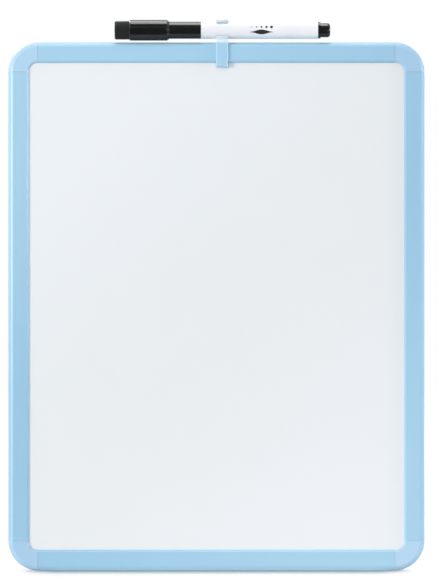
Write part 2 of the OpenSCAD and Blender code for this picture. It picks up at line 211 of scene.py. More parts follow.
class BoardAxes:
    """The board's own directions: across, back through its thickness and up its face."""

    def __init__(self) -> None:
        """Reads the lean from the writing face's normal in the record."""
        mounts = {mount["name"]: mount for mount in frame["record"]["mounts"]}
        face = mounts["magnetic_face"]
        self.normal = Vector(face["axis"]).normalized()
        self.lean = math.asin(self.normal.z)
        self.across = Vector((1, 0, 0))
        self.up = self.across.cross(-self.normal)
        self.face_middle = Vector(face["pos_m"])

    def highest(self, node: str) -> float:
        """Distance up the board's face, from the origin, of a node's highest point."""
        return max(self.up.dot(vertex.co) for vertex in frame["nodes"][node].data.vertices)


BOARD = BoardAxes()


# ---- finishes


class Run(Enum):
    """Direction in which a pattern is drawn out, in the board's own axes."""

    ACROSS = (60.0, 1.0, 1.0)
    UP = (1.0, 1.0, 60.0)
    NONE = (1.0, 1.0, 1.0)


@dataclass(frozen=True)
class Finish:
    """What every surface has: a colour, a gloss and a pattern.

    Args:
        name: the real material's name.
        colour: sRGB hex.
        roughness: middle of the surface's roughness.
        ior: index of refraction.
    """

    name: str
    colour: str
    roughness: float = 0.4
    ior: float = 1.5

    def build(self) -> Material:
        """Makes the material: a principled shader whose inputs the pattern may change.

        Returns:
            The material.
        """
        material = bpy.data.materials.new(self.name)
        material.diffuse_color = linear(self.colour)
        tree = bare_tree(material)
        inputs = {"Base Color": linear(self.colour), "Roughness": self.roughness, "IOR": self.ior}
        inputs.update(self.pattern(tree))
        shader = add(tree, "ShaderNodeBsdfPrincipled", inputs)
        add(tree, "ShaderNodeOutputMaterial", {"Surface": shader})
        return material

    def pattern(self, tree: Tree) -> dict:
        """Draws what the surface shows besides its colour and gloss. A plain finish has nothing.

        Args:
            tree: the material's tree.

        Returns:
            The inputs of the shader that this finish changes, by name.
        """
        return {}

    def place(self, tree: Tree, run: Run = Run.NONE) -> Source:
        """Object coordinates, turned to the board's axes, then drawn out.

        Args:
            tree: the material's tree.
            run: the way in which they are drawn out.

        Returns:
            The coordinates, in metres.
        """
        known = add(tree, "ShaderNodeTexCoord")
        upright = add(tree, "ShaderNodeMapping", {
            "Vector": known.outputs["Object"], "Rotation": (BOARD.lean, 0, 0),
        })
        return add(tree, "ShaderNodeMapping", {
            "Vector": upright, "Scale": tuple(1 / stretch for stretch in run.value),
        })

    def strayed(self, tree: Tree, factor: Source, spread: float) -> Source:
        """Roughness that strays by a spread to either side, with a factor about 0.5."""
        smoothest = 0.02
        return add(tree, "ShaderNodeMapRange", {
            "Value": factor, "From Min": 0.3, "From Max": 0.7,
            "To Min": max(self.roughness - spread, smoothest), "To Max": self.roughness + spread,
        })

    def grained(
        self, tree: Tree, place: Source, width: float, depth: float, strength: float,
        **more: Source | float,
    ) -> Node:
        """Relief of an even grain.

        Args:
            tree: the material's tree.
            place: coordinates that the grain follows.
            width: its width, in mm.
            depth: its depth, in mm.
            strength: how much of it shows.
            **more: "detail" of its noise, and "under", a coarser relief that it lies on.

        Returns:
            The relief.
        """
        noise = add(tree, "ShaderNodeTexNoise", {
            "Vector": place, "Scale": per_mm(width), "Detail": more.get("detail", 2),
        })
        return add(tree, "ShaderNodeBump", {
            "Height": noise, "Distance": depth * MM, "Strength": strength,
            "Normal": more.get("under", (0, 0, 0)),
        })

    def tinted(self, tree: Tree, factor: Source, other: str) -> Socket:
        """Lets the colour go over to another as a factor climbs through 0.5.

        Args:
            tree: the material's tree.
            factor: the factor.
            other: the colour above 0.5, as sRGB hex.

        Returns:
            The mixed colour.
        """
        share = add(tree, "ShaderNodeMapRange", {
            "Value": factor, "From Min": 0.35, "From Max": 0.65,
        })
        mixed = add(tree, "ShaderNodeMix", {
            0: share, 6: linear(self.colour), 7: linear(other),
        }, data_type="RGBA")
        return mixed.outputs[2]

    def with_painted_sheen(self, tree: Tree, place: Source, factor: Source, other: str) -> Socket:
        """Painted sheen: another colour off the band that runs from lower left to upper right.

        Args:
            tree: the material's tree.
            place: the board's coordinates.
            factor: noise about 0.5, which breaks the change up.
            other: the painted sheen's colour, at the upper left and the lower right, as sRGB hex.

        Returns:
            The mixed colour.
        """
        across_band = Vector((-0.62, 0, 0.78))  # square to the band, in the board's axes
        starts, full = 0.01, 0.18  # metres from the band's middle
        middle = across_band.z * BOARD.up.dot(BOARD.face_middle)
        slant = add(tree, "ShaderNodeVectorMath", {
            0: place, 1: across_band,
        }, operation="DOT_PRODUCT")
        from_middle = add(tree, "ShaderNodeMath", {
            0: slant.outputs["Value"], 1: middle,
        }, operation="SUBTRACT")
        off_band = add(tree, "ShaderNodeMath", {0: from_middle}, operation="ABSOLUTE")
        reach = add(tree, "ShaderNodeMapRange", {
            "Value": off_band, "From Min": starts, "From Max": full,
        }, interpolation_type="SMOOTHSTEP")
        # The noise, brought from about 0.5 to about 0 and to a third of its swing.
        broken = add(tree, "ShaderNodeMath", {
            0: factor, 1: 0.35, 2: -0.17,
        }, operation="MULTIPLY_ADD")
        # Share of the painted sheen: none on the band, full off it, broken up by the noise.
        sheen_share = add(tree, "ShaderNodeMath", {0: reach, 1: broken}, operation="ADD", use_clamp=True)
        mixed = add(tree, "ShaderNodeMix", {
            0: sheen_share, 6: linear(self.colour), 7: linear(other),
        }, data_type="RGBA")
        return mixed.outputs[2]


@dataclass(frozen=True)
class ExtrudedPolystyrene(Finish):
    """Rail stock: satin, with faint lines that the die leaves along its length."""

    # Painted sheen: the colour at the upper left and the lower right, where the soft boxes mirror.
    painted_sheen: str = "#a4cee6"
    run: Run = Run.ACROSS
    die_line: float = 0.9  # mm; the real lines are finer, and drawn as coarse as they need to show

    def pattern(self, tree: Tree) -> dict:
        """Die lines in the relief, a wander in the gloss, a painted sheen in the colour, broken by
        slow noise.
        """
        place = self.place(tree)
        along = self.place(tree, self.run)
        slow = add(tree, "ShaderNodeTexNoise", {"Vector": place, "Scale": per_mm(30), "Detail": 2})
        streaks = add(tree, "ShaderNodeTexNoise", {
            "Vector": along, "Scale": per_mm(4), "Detail": 2,
        })
        lines = self.grained(tree, along, self.die_line, 0.02, 0.35, detail=3)
        return {
            "Base Color": self.with_painted_sheen(tree, place, slow, self.painted_sheen),
            "Roughness": self.strayed(tree, streaks, 0.06),
            "Normal": self.grained(tree, place, 0.5, 0.006, 0.3, under=lines),
        }


@dataclass(frozen=True)
class MouldedPlastic(Finish):
    """Injection moulding from a spark-eroded tool: a fine even grain that breaks the highlight."""

    # Painted sheen: the colour at the upper left and the lower right, where the soft boxes mirror.
    painted_sheen: str = "#b0d2eb"
    spark: float = 0.45  # mm, width of the tool's grain

    def pattern(self, tree: Tree) -> dict:
        """Spark grain in the relief; flow marks break up a painted sheen at two corners in the
        colour.
        """
        place = self.place(tree)
        flow = add(tree, "ShaderNodeTexNoise", {
            "Vector": place, "Scale": per_mm(16), "Detail": 3, "Distortion": 0.6,
        })
        patches = add(tree, "ShaderNodeTexNoise", {
            "Vector": place, "Scale": per_mm(2), "Detail": 2,
        })
        return {
            "Base Color": self.with_painted_sheen(tree, place, flow, self.painted_sheen),
            "Roughness": self.strayed(tree, patches, 0.05),
            "Normal": self.grained(tree, place, self.spark, 0.012, 0.35),
        }


@dataclass(frozen=True)
class StovedSteel(Finish):
    """White paint stoved on steel: glossy, a little orange-peeled, its gloss hazed by wiping."""

    # Painted reflection of the soft boxes: the colour at the upper left and the lower right.
    painted_reflection: str = "#eaedf0"
    peel: float = 1.6  # mm, width of the orange peel

    def pattern(self, tree: Tree) -> dict:
        """Orange peel in the relief, wipes in the gloss, a painted reflection at the upper left and
        the lower right.
        """
        place = self.place(tree)
        wipes_and_reflection_noise = add(tree, "ShaderNodeTexNoise", {
            "Vector": place, "Scale": per_mm(70), "Detail": 3, "Distortion": 0.3,
        })
        return {
            "Base Color": self.with_painted_sheen(tree, place, wipes_and_reflection_noise, self.painted_reflection),
            "Roughness": self.strayed(tree, wipes_and_reflection_noise, 0.02),
            "Normal": self.grained(tree, place, self.peel, 0.004, 0.4, detail=1),
        }


@dataclass(frozen=True)
class PebbledSheet(Finish):
    """Calendered plastic sheet with an embossed pebble, which hides scratches on the back."""

    darker: str = "#b9bdc1"
    pebble: float = 1.1  # mm

    def pattern(self, tree: Tree) -> dict:
        """Pebbles in the relief, a faint mottle in the colour."""
        place = self.place(tree)
        mottle = add(tree, "ShaderNodeTexNoise", {
            "Vector": place, "Scale": per_mm(20), "Detail": 3,
        })
        pebbles = add(tree, "ShaderNodeTexVoronoi", {
            "Vector": place, "Scale": per_mm(self.pebble),
        }, feature="SMOOTH_F1")
        bumped = add(tree, "ShaderNodeBump", {
            "Height": pebbles, "Distance": 0.09 * MM, "Strength": 0.5,
        })
        return {
            "Base Color": self.tinted(tree, mottle, self.darker),
            "Roughness": self.strayed(tree, mottle, 0.03),
            "Normal": bumped,
        }


@dataclass(frozen=True)
class ThinPolypropylene(Finish):
    """Springy clip moulding, a little translucent, with painted highlight on its neck and painted
    shade on its lip.
    """

    # Each zone has another colour, and where it starts and is full, in mm above the frame's edge.
    # The first zone is a painted highlight on the thin neck and ring, the second a painted shade on
    # the lip.
    painted_light_zones: tuple[tuple[str, float, float], ...] = (("#e6f0f5", -1.2, 0.9), ("#b8c5cd", 3.2, 4.2))

    def pattern(self, tree: Tree) -> dict:
        """Painted highlight from the neck up, painted shade from the lower lip up, a little scatter
        inside.
        """
        place = self.place(tree)
        height = add(tree, "ShaderNodeSeparateXYZ", {"Vector": place})
        edge = BOARD.highest("rail_top")
        colour = linear(self.colour)
        for other, start, full in self.painted_light_zones:
            share = add(tree, "ShaderNodeMapRange", {
                "Value": height.outputs["Z"],
                "From Min": edge + start * MM, "From Max": edge + full * MM,
            })
            mixed = add(tree, "ShaderNodeMix", {
                0: share, 6: colour, 7: linear(other),
            }, data_type="RGBA")
            colour = mixed.outputs[2]
        patches = add(tree, "ShaderNodeTexNoise", {
            "Vector": place, "Scale": per_mm(1.5), "Detail": 2,
        })
        return {
            "Base Color": colour,
            "Roughness": self.strayed(tree, patches, 0.05),
            "Normal": self.grained(tree, place, 0.5, 0.008, 0.3),
            "Subsurface Weight": 0.15,
            "Subsurface Radius": (0.6, 0.8, 1.0),
            "Subsurface Scale": 0.8 * MM,
        }


@dataclass(frozen=True)
class PolishedPolypropylene(Finish):
    """Moulding from a polished tool: glossy, with a slow swell and hairlines along the tube."""

    flow: str = "#ffffff"
    scratches: float = 0.3

    def pattern(self, tree: Tree) -> dict:
        """Slow swell from the tool, hairline scratches along the tube."""
        place = self.place(tree)
        along = self.place(tree, Run.ACROSS)
        tone = add(tree, "ShaderNodeTexNoise", {"Vector": place, "Scale": per_mm(12), "Detail": 2})
        hairs = add(tree, "ShaderNodeTexNoise", {
            "Vector": along, "Scale": per_mm(0.35), "Detail": 4,
        })
        bumped = add(tree, "ShaderNodeBump", {
            "Height": hairs, "Distance": 0.003 * MM, "Strength": self.scratches,
            "Normal": self.grained(tree, place, 5, 0.01, 0.3),
        })
        return {
            "Base Color": self.tinted(tree, tone, self.flow),
            "Roughness": self.strayed(tree, hairs, 0.04),
            "Normal": bumped,
        }


@dataclass(frozen=True)
class PressedFibre(Finish):
    """Fibres pressed to a felt or a board: matt, with lighter ends."""

    fibre: str = "#1d1e21"
    width: float = 0.6  # mm, of a fibre
    tangle: float = 2.0
    run: Run = Run.NONE
    depth: float = 0.12  # mm
    strength: float = 0.8
    sheen: float = 0.1

    def pattern(self, tree: Tree) -> dict:
        """Tangled fibres in the colour and the relief, under a soft sheen."""
        fibres = add(tree, "ShaderNodeTexNoise", {
            "Vector": self.place(tree, self.run), "Scale": per_mm(self.width), "Detail": 5,
            "Distortion": self.tangle,
        })
        return {
            "Base Color": self.tinted(tree, fibres, self.fibre),
            "Normal": add(tree, "ShaderNodeBump", {
                "Height": fibres, "Distance": self.depth * MM, "Strength": self.strength,
            }),
            "Sheen Weight": self.sheen,
            "Sheen Roughness": 0.5,
        }


@dataclass(frozen=True)
class TumbledZinc(Finish):
    """Bright zinc on steel: metal, with a cool cast and the small marks of tumbling."""

    def pattern(self, tree: Tree) -> dict:
        """Fully metal, with a tumbled gloss."""
        marks = add(tree, "ShaderNodeTexNoise", {
            "Vector": self.place(tree), "Scale": per_mm(0.5), "Detail": 4,
        })
        bumped = add(tree, "ShaderNodeBump", {
            "Height": marks, "Distance": 0.004 * MM, "Strength": 0.4,
        })
        return {
            "Metallic": 1.0,
            "Roughness": self.strayed(tree, marks, 0.1),
            "Normal": bumped,
        }


@dataclass(frozen=True)
class MouldedRubber(Finish):
    """Matt rubber with a sandblasted grain and a little grey bloom."""

    bloom: str = "#45484d"

    def pattern(self, tree: Tree) -> dict:
        """Bloom in the colour, grain in the relief."""
        place = self.place(tree)
        clouds = add(tree, "ShaderNodeTexNoise", {"Vector": place, "Scale": per_mm(7), "Detail": 4})
        return {
            "Base Color": self.tinted(tree, clouds, self.bloom),
            "Roughness": self.strayed(tree, clouds, 0.06),
            "Normal": self.grained(tree, place, 0.35, 0.03, 0.5),
        }


@dataclass(frozen=True)
class PadInk(Finish):
    """Ink laid by a pad: even, a little thinner here and there."""

    thin: str = "#26272c"

    def pattern(self, tree: Tree) -> dict:
        """Thinner patches in the colour and the gloss, as the pad lifts."""
        laid = add(tree, "ShaderNodeTexNoise", {
            "Vector": self.place(tree), "Scale": per_mm(0.8), "Detail": 3,
        })
        return {
            "Base Color": self.tinted(tree, laid, self.thin),
            "Roughness": self.strayed(tree, laid, 0.08),
        }


class Palette:
    """Every finish on the object, built once and handed out by name."""

    FINISHES = {
        # Satin rail stock; its faint lines run the way that the rail was drawn.
        "rail_across": ExtrudedPolystyrene("extruded_polystyrene_across", "#98c3de", 0.40),
        "rail_up": ExtrudedPolystyrene("extruded_polystyrene_up", "#98c3de", 0.40, run=Run.UP),
        # Moulded apart from the rails, so a shade lighter and finely grained, with the rails'
        # painted sheen.
        "corner": MouldedPlastic("moulded_polystyrene_corner", "#a3c7e2", 0.38),
        # The same blue as the rails, duller, because nobody looks at the back.
        "stand": MouldedPlastic("moulded_polystyrene_stand", "#a4cbe5", 0.45, painted_sheen="#a7cde7"),
        # Hard cool white whose gloss is softened by years of wiping.
        "writing": StovedSteel("stoved_white_steel", "#e6e9eb", 0.33),
        # Brown and fibrous, a warm line at the screw holes.
        "core": PressedFibre(
            "pressed_fibreboard", "#8a7056", 0.9, fibre="#6d5843", width=0.5, tangle=0.8,
            run=Run.ACROSS, depth=0.08, strength=0.6, sheen=0.0,
        ),
        # Grey and pebbled, so the back looks dry and even.
        "backing": PebbledSheet("pebbled_polypropylene_sheet", "#bbbfc3", 0.5),
        # Waxy, a little translucent; a painted highlight makes it nearly white at its thin neck and
        # ring.
        "clip": ThinPolypropylene("thin_polypropylene_clip", "#a8cfe9", 0.32),
        # Clean bright white with a soft gloss along the tube.
        "barrel": PolishedPolypropylene("white_polypropylene", "#eceef2", 0.25, flow="#f0f2f5"),
        # Deep black with one sharp highlight, to stand out beside the barrel.
        "black": PolishedPolypropylene(
            "black_polypropylene", "#080b0c", 0.17, ior=1.6, flow="#0c0f10",
        ),
        # Milky grey of plastic with no pigment in it.
        "holder": MouldedPlastic("natural_polypropylene", "#cbced3", 0.35, painted_sheen="#d6d9dd"),
        # The same milk, softer and warmer.
        "liner": MouldedPlastic("natural_polyethylene", "#e0e0dc", 0.5, painted_sheen="#e8e8e4"),
        # Dull charcoal that swallows the light and is fuzzy at its edge.
        "felt": PressedFibre("pressed_wool_felt", "#0f1012", 0.95),
        # Hard fibre soaked with black ink.
        "ink_felt": PressedFibre("inked_polyester_fibre", "#17181b", 0.8, fibre="#26282d"),
        # Cold bright metal, the only one that shows.
        "zinc": TumbledZinc("bright_zinc_plate", "#bfc2c7", 0.32),
        # Dark and dead matt, so the foot looks like it grips.
        "rubber": MouldedRubber("moulded_rubber", "#3a3c41", 0.75),
        # Thin black print that keeps the barrel's roundness under it.
        "ink": PadInk("pad_printing_ink", "#1b1c20", 0.5),
    }

    def __init__(self) -> None:
        """Starts with nothing built."""
        self.built: dict[str, Material] = {}

    def get(self, name: str) -> Material:
        """Builds a finish the first time that it is asked for."""
        if name not in self.built:
            self.built[name] = self.FINISHES[name].build()
        return self.built[name]


# ---- sub-assemblies


@dataclass
class SubAssembly:
    """A group of pieces on one CAD body.

    Args:
        palette: the finishes.
        body: the CAD body that its own pieces ride on.
    """

    palette: Palette
    body: str = "board"

    def dress(self, **finishes: str) -> None:
        """Gives CAD nodes their finishes.

        Args:
            **finishes: the finish's name, by the node's.
        """
        for node, finish in finishes.items():
            slots = frame["nodes"][node].data.materials
            slots.clear()
            slots.append(self.palette.get(finish))
            log.info("node %s: %s", node, finish)

    def adopt(self, piece: Object, finish: str, slot: str, *nodes: str) -> None:
        """Finishes a made piece and gives it to its body.

        Args:
            piece: the finished object, in place at rest.
            finish: name of its finish.
            slot: the record's material slot; not used.
            *nodes: the CAD nodes that it stands for.
        """
        piece.data.materials.clear()
        piece.data.materials.append(self.palette.get(finish))
        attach(piece, self.body)
        if nodes:
            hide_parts(*nodes)
        log.info("piece %s: %d faces", piece.name, len(piece.data.polygons))

    def soften(
        self, node: str, piece: str, radius: float, finish: str, slot: str, segments: int = 2
    ) -> None:
        """Copies a CAD node, rounds its sharp edges as a moulding's are, and adopts the copy.

        Args:
            node: the CAD node.
            piece: the new piece's name.
            radius: radius of the rounding, in mm.
            finish: name of the piece's finish.
            slot: the record's material slot.
            segments: faces across the rounding.
        """
        mesh = frame["nodes"][node].data.copy()
        shape = bmesh.new()
        shape.from_mesh(mesh)
        bmesh.ops.remove_doubles(shape, verts=shape.verts, dist=SAME_PLACE)
        bmesh.ops.dissolve_limit(shape, angle_limit=FLAT, verts=shape.verts, edges=shape.edges)
        shape.to_mesh(mesh)
        shape.free()
        maker = new_object(piece + "_maker", mesh)
        round_off(maker, radius, segments)
        self.adopt(baked(maker, piece), finish, slot, node)


@dataclass
class Panel(SubAssembly):
    """Steel sheet, core and backing."""

    def build(self) -> None:
        """Dresses the three layers."""
        self.dress(writing_sheet="writing", panel_core="core", backing_sheet="backing")


@dataclass
class Frame(SubAssembly):
    """Four extruded rails and four moulded corners."""

    def build(self) -> None:
        """Dresses the rails along their run, then the corners."""
        self.dress(rail_top="rail_across", rail_bottom="rail_across")
        for side in ("left", "right"):
            corners = {f"corner_{end}_{side}": "corner" for end in ("bottom", "top")}
            self.dress(**{f"rail_{side}": "rail_up"}, **corners)


@dataclass
class Stand(SubAssembly):
    """Bracket, screws and pin on the board. Sizes are in mm."""

    edge: float = 0.35  # rounding of the bracket's edges
    steel_edge: float = 0.2  # the same for the screws and the pin
    screws_across: float = 54.0  # from screw to screw across the board
    screws_up: float = 30.0
    head_radius: float = 2.8
    head_height: float = 1.8
    shank_radius: float = 1.5
    screw_length: float = 5.4  # of the shank, below the head
    slot: tuple[float, float, float] = (3.4, 0.7, 1.8)  # length, width and twice the depth

    def build(self) -> None:
        """Rounds the bracket and its steel."""
        self.soften("stand_bracket", "bracket_moulding", self.edge, "stand", "frame_plastic")
        self.adopt(self.screws(), "zinc", "zinc_steel", "stand_screws")
        self.soften("hinge_pin", "pin_rounded", self.steel_edge, "zinc", "zinc_steel")

    def screws(self) -> Object:
        """Drives a screw through each corner of the bracket's plate.

        Returns:
            The four screws, with their edges rounded.
        """
        points = [vertex.co for vertex in frame["nodes"]["stand_screws"].data.vertices]
        heights = [BOARD.up.dot(point) for point in points]
        head_top = max(-BOARD.normal.dot(point) for point in points)
        head_foot = head_top - self.head_height * MM
        place = BOARD.up * (min(heights) + max(heights)) / 2 - BOARD.normal * head_foot
        maker = new_object("screws_maker", bpy.data.meshes.new("screws_maker"))
        half = self.head_height / 2
        grow(maker, {
            "Place": place, "Turn": (-math.pi / 2 - BOARD.lean, 0, 0),
            "Across": self.screws_across * MM, "Up": self.screws_up * MM,
            "Head Radius": self.head_radius * MM, "Head Height": self.head_height * MM,
            "Head Middle": (0, 0, half * MM), "Head Top": (0, 0, self.head_height * MM),
            # The shank ends inside the head, so that the two join cleanly.
            "Shank Radius": self.shank_radius * MM, "Shank Length": (self.screw_length + half) * MM,
            "Shank Middle": (0, 0, (half - self.screw_length) / 2 * MM),
            "Slot": tuple(side * MM for side in self.slot),
        }, self.screw_nodes, self.palette.get("zinc"))
        round_off(maker, self.steel_edge, 2)
        return baked(maker, "pan_head_screws")

    def screw_nodes(self, tree: GeometryTree, given: Inputs) -> Source:
        """Makes a cross-head screw and sets it at the corners of a rectangle.

        Args:
            tree: the tree that draws it.
            given: the tree's inputs.

        Returns:
            The four screws, as instances.
        """
        head = add(tree, "GeometryNodeMeshCylinder", {
            "Vertices": 48, "Radius": given["Head Radius"], "Depth": given["Head Height"],
        })
        shank = add(tree, "GeometryNodeMeshCylinder", {
            "Vertices": 32, "Radius": given["Shank Radius"], "Depth": given["Shank Length"],
        })
        slot = add(tree, "GeometryNodeMeshCube", {"Size": given["Slot"]})
        raised, lowered, along, across = (
            add(tree, "GeometryNodeTransform", {
                "Geometry": shape, "Translation": given[middle], "Rotation": (0, 0, turn),
            })
            for shape, middle, turn in (
                (head, "Head Middle", 0), (shank, "Shank Middle", 0),
                (slot, "Head Top", 0), (slot, "Head Top", math.pi / 2),
            )
        )
        whole = add(tree, "GeometryNodeMeshBoolean", {
            "Mesh 2": [raised, lowered],
        }, operation="UNION", solver="EXACT")
        screw = add(tree, "GeometryNodeMeshBoolean", {
            "Mesh 1": whole, "Mesh 2": [along, across],
        }, operation="DIFFERENCE", solver="EXACT")
        corners = add(tree, "GeometryNodeMeshGrid", {
            "Size X": given["Across"], "Size Y": given["Up"], "Vertices X": 2, "Vertices Y": 2,
        })
        driven = add(tree, "GeometryNodeInstanceOnPoints", {"Points": corners, "Instance": screw})
        return add(tree, "GeometryNodeTransform", {
            "Geometry": driven, "Translation": given["Place"], "Rotation": given["Turn"],
        })


@dataclass
class Leg(SubAssembly):
    """Folding leg and its rubber boot."""

    body: str = "leg"
    edge: float = 0.3  # mm, rounding of the leg's edges
    boot_edge: float = 0.6

    def build(self) -> None:
        """Rounds the leg and its boot."""
        self.soften("stand_leg", "leg_moulding", self.edge, "stand", "frame_plastic")
        self.soften("leg_foot", "leg_boot", self.boot_edge, "rubber", "foot_rubber", segments=3)


@dataclass
class Clip(SubAssembly):
    """Spring clip that carries the marker."""

    body: str = "clip"
    edge: float = 0.25  # mm, rounding of the clip's edges

    def build(self) -> None:
        """Rounds the clip."""
        self.soften("marker_clip", "clip_moulding", self.edge, "clip", "clip_plastic")


@dataclass
class Marker(SubAssembly):
    """Barrel with its print, plug, reservoir, holder and nib. Sizes are in mm."""

    body: str = "marker"
    print_from: float = 22.6  # from the board's middle
    print_to: float = 38.0
    dots: int = 5
    dot_margin: float = 1.0  # from the print's ends to its first and last dot
    dot_radius: float = 0.35  # of the smallest
    dot_growth: float = 0.15  # how much larger each next dot is
    dot_height: float = 3.0  # round the barrel, from its front
    stroke_height: float = -0.4
    stroke_thin: float = 0.15  # half the stroke's width at its ends
    stroke_swell: float = 1.5  # how much wider, to each side, it is in its middle
    barrel_radius: float = 5.85
    ink: float = 0.02  # how far it stands out of the barrel

    def build(self) -> None:
        """Dresses the marker and prints its barrel."""
        self.dress(
            marker_barrel="barrel", marker_end_plug="black", marker_reservoir="ink_felt",
            marker_nib_holder="holder", marker_nib="ink_felt",
        )
        self.adopt(self.printed(), "ink", "black_plastic")

    def printed(self) -> Object:
        """Prints a row of dots, thin to bold, over a stroke that swells and thins.

        Returns:
            The print, as closed patches of ink on the barrel.
        """
        low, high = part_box("marker_barrel")
        centre = (low + high) / 2
        length = self.print_to - self.print_from
        reach = length / 2 - self.dot_margin
        maker = new_object("print_maker", bpy.data.meshes.new("print_maker"))
        grow(maker, {
            "Place": ((self.print_from + length / 2) * MM, centre.y, centre.z),
            "Dots": self.dots,
            "First Dot": (-reach * MM, self.dot_height * MM, 0),
            "Last Dot": (reach * MM, self.dot_height * MM, 0),
            "Dot Radius": self.dot_radius * MM, "Dot Growth": self.dot_growth * MM,
            "Length": length * MM, "Height": self.stroke_height * MM,
            "Thin": self.stroke_thin * MM, "Swell": self.stroke_swell * MM,
            "Barrel": self.barrel_radius * MM, "Ink": 2 * self.ink * MM,
        }, self.print_nodes, self.palette.get("ink"))
        return baked(maker, "barrel_print")

    def print_nodes(self, tree: GeometryTree, given: Inputs) -> Source:
        """Draws the print flat and wraps it round the front of the barrel.

        Args:
            tree: the tree that draws it.
            given: the tree's inputs.

        Returns:
            The wrapped print.
        """
        place = add(tree, "GeometryNodeInputPosition")
        flat = add(tree, "ShaderNodeSeparateXYZ", {"Vector": place}).outputs
        # The dots, each a little larger than the one before it.
        row = add(tree, "GeometryNodeMeshLine", {
            "Count": given["Dots"],
            "Start Location": given["First Dot"], "Offset": given["Last Dot"],
        }, mode="END_POINTS")
        number = add(tree, "GeometryNodeInputIndex")
        radius = add(tree, "ShaderNodeMath", {
            0: number, 1: given["Dot Growth"], 2: given["Dot Radius"],
        }, operation="MULTIPLY_ADD")
        scale = add(tree, "ShaderNodeCombineXYZ", {"X": radius, "Y": radius, "Z": 1.0})
        dot = add(tree, "GeometryNodeMeshCylinder", {
            "Vertices": 32, "Fill Segments": 4, "Radius": 1.0, "Depth": given["Ink"],
        }, fill_type="TRIANGLE_FAN")
        placed = add(tree, "GeometryNodeInstanceOnPoints", {
            "Points": row, "Instance": dot, "Scale": scale,
        })
        # The stroke, whose half width is a squared cosine along its length.
        size = add(tree, "ShaderNodeCombineXYZ", {
            "X": given["Length"], "Y": 2.0, "Z": given["Ink"],
        })
        strip = add(tree, "GeometryNodeMeshCube", {"Size": size, "Vertices X": 61, "Vertices Y": 7})
        share = add(tree, "ShaderNodeMath", {0: flat["X"], 1: given["Length"]}, operation="DIVIDE")
        turn = add(tree, "ShaderNodeMath", {0: share, 1: math.pi}, operation="MULTIPLY")
        wave = add(tree, "ShaderNodeMath", {0: turn}, operation="COSINE")
        square = add(tree, "ShaderNodeMath", {0: wave, 1: 2}, operation="POWER")
        half = add(tree, "ShaderNodeMath", {
            0: square, 1: given["Swell"], 2: given["Thin"],
        }, operation="MULTIPLY_ADD")
        up = add(tree, "ShaderNodeMath", {
            0: flat["Y"], 1: half, 2: given["Height"],
        }, operation="MULTIPLY_ADD")
        swollen = add(tree, "ShaderNodeCombineXYZ", {"X": flat["X"], "Y": up, "Z": flat["Z"]})
        stroke = add(tree, "GeometryNodeSetPosition", {"Geometry": strip, "Position": swollen})
        both = add(tree, "GeometryNodeJoinGeometry", {0: [placed, stroke]})
        real = add(tree, "GeometryNodeRealizeInstances", {"Geometry": both})
        # Wrapped: height becomes a turn about the barrel's axis, thickness becomes radius.
        turned = add(tree, "ShaderNodeMath", {0: flat["Y"], 1: given["Barrel"]}, operation="DIVIDE")
        angle = add(tree, "ShaderNodeMath", {0: math.pi, 1: turned}, operation="SUBTRACT")
        out = add(tree, "ShaderNodeMath", {0: flat["Z"], 1: given["Barrel"]}, operation="ADD")
        behind = add(tree, "ShaderNodeCombineXYZ", {"X": flat["X"], "Y": out})
        round_axis = add(tree, "ShaderNodeVectorRotate", {
            "Vector": behind, "Angle": angle,
        }, rotation_type="X_AXIS")
        return add(tree, "GeometryNodeSetPosition", {
            "Geometry": real, "Position": round_axis, "Offset": given["Place"],
        })


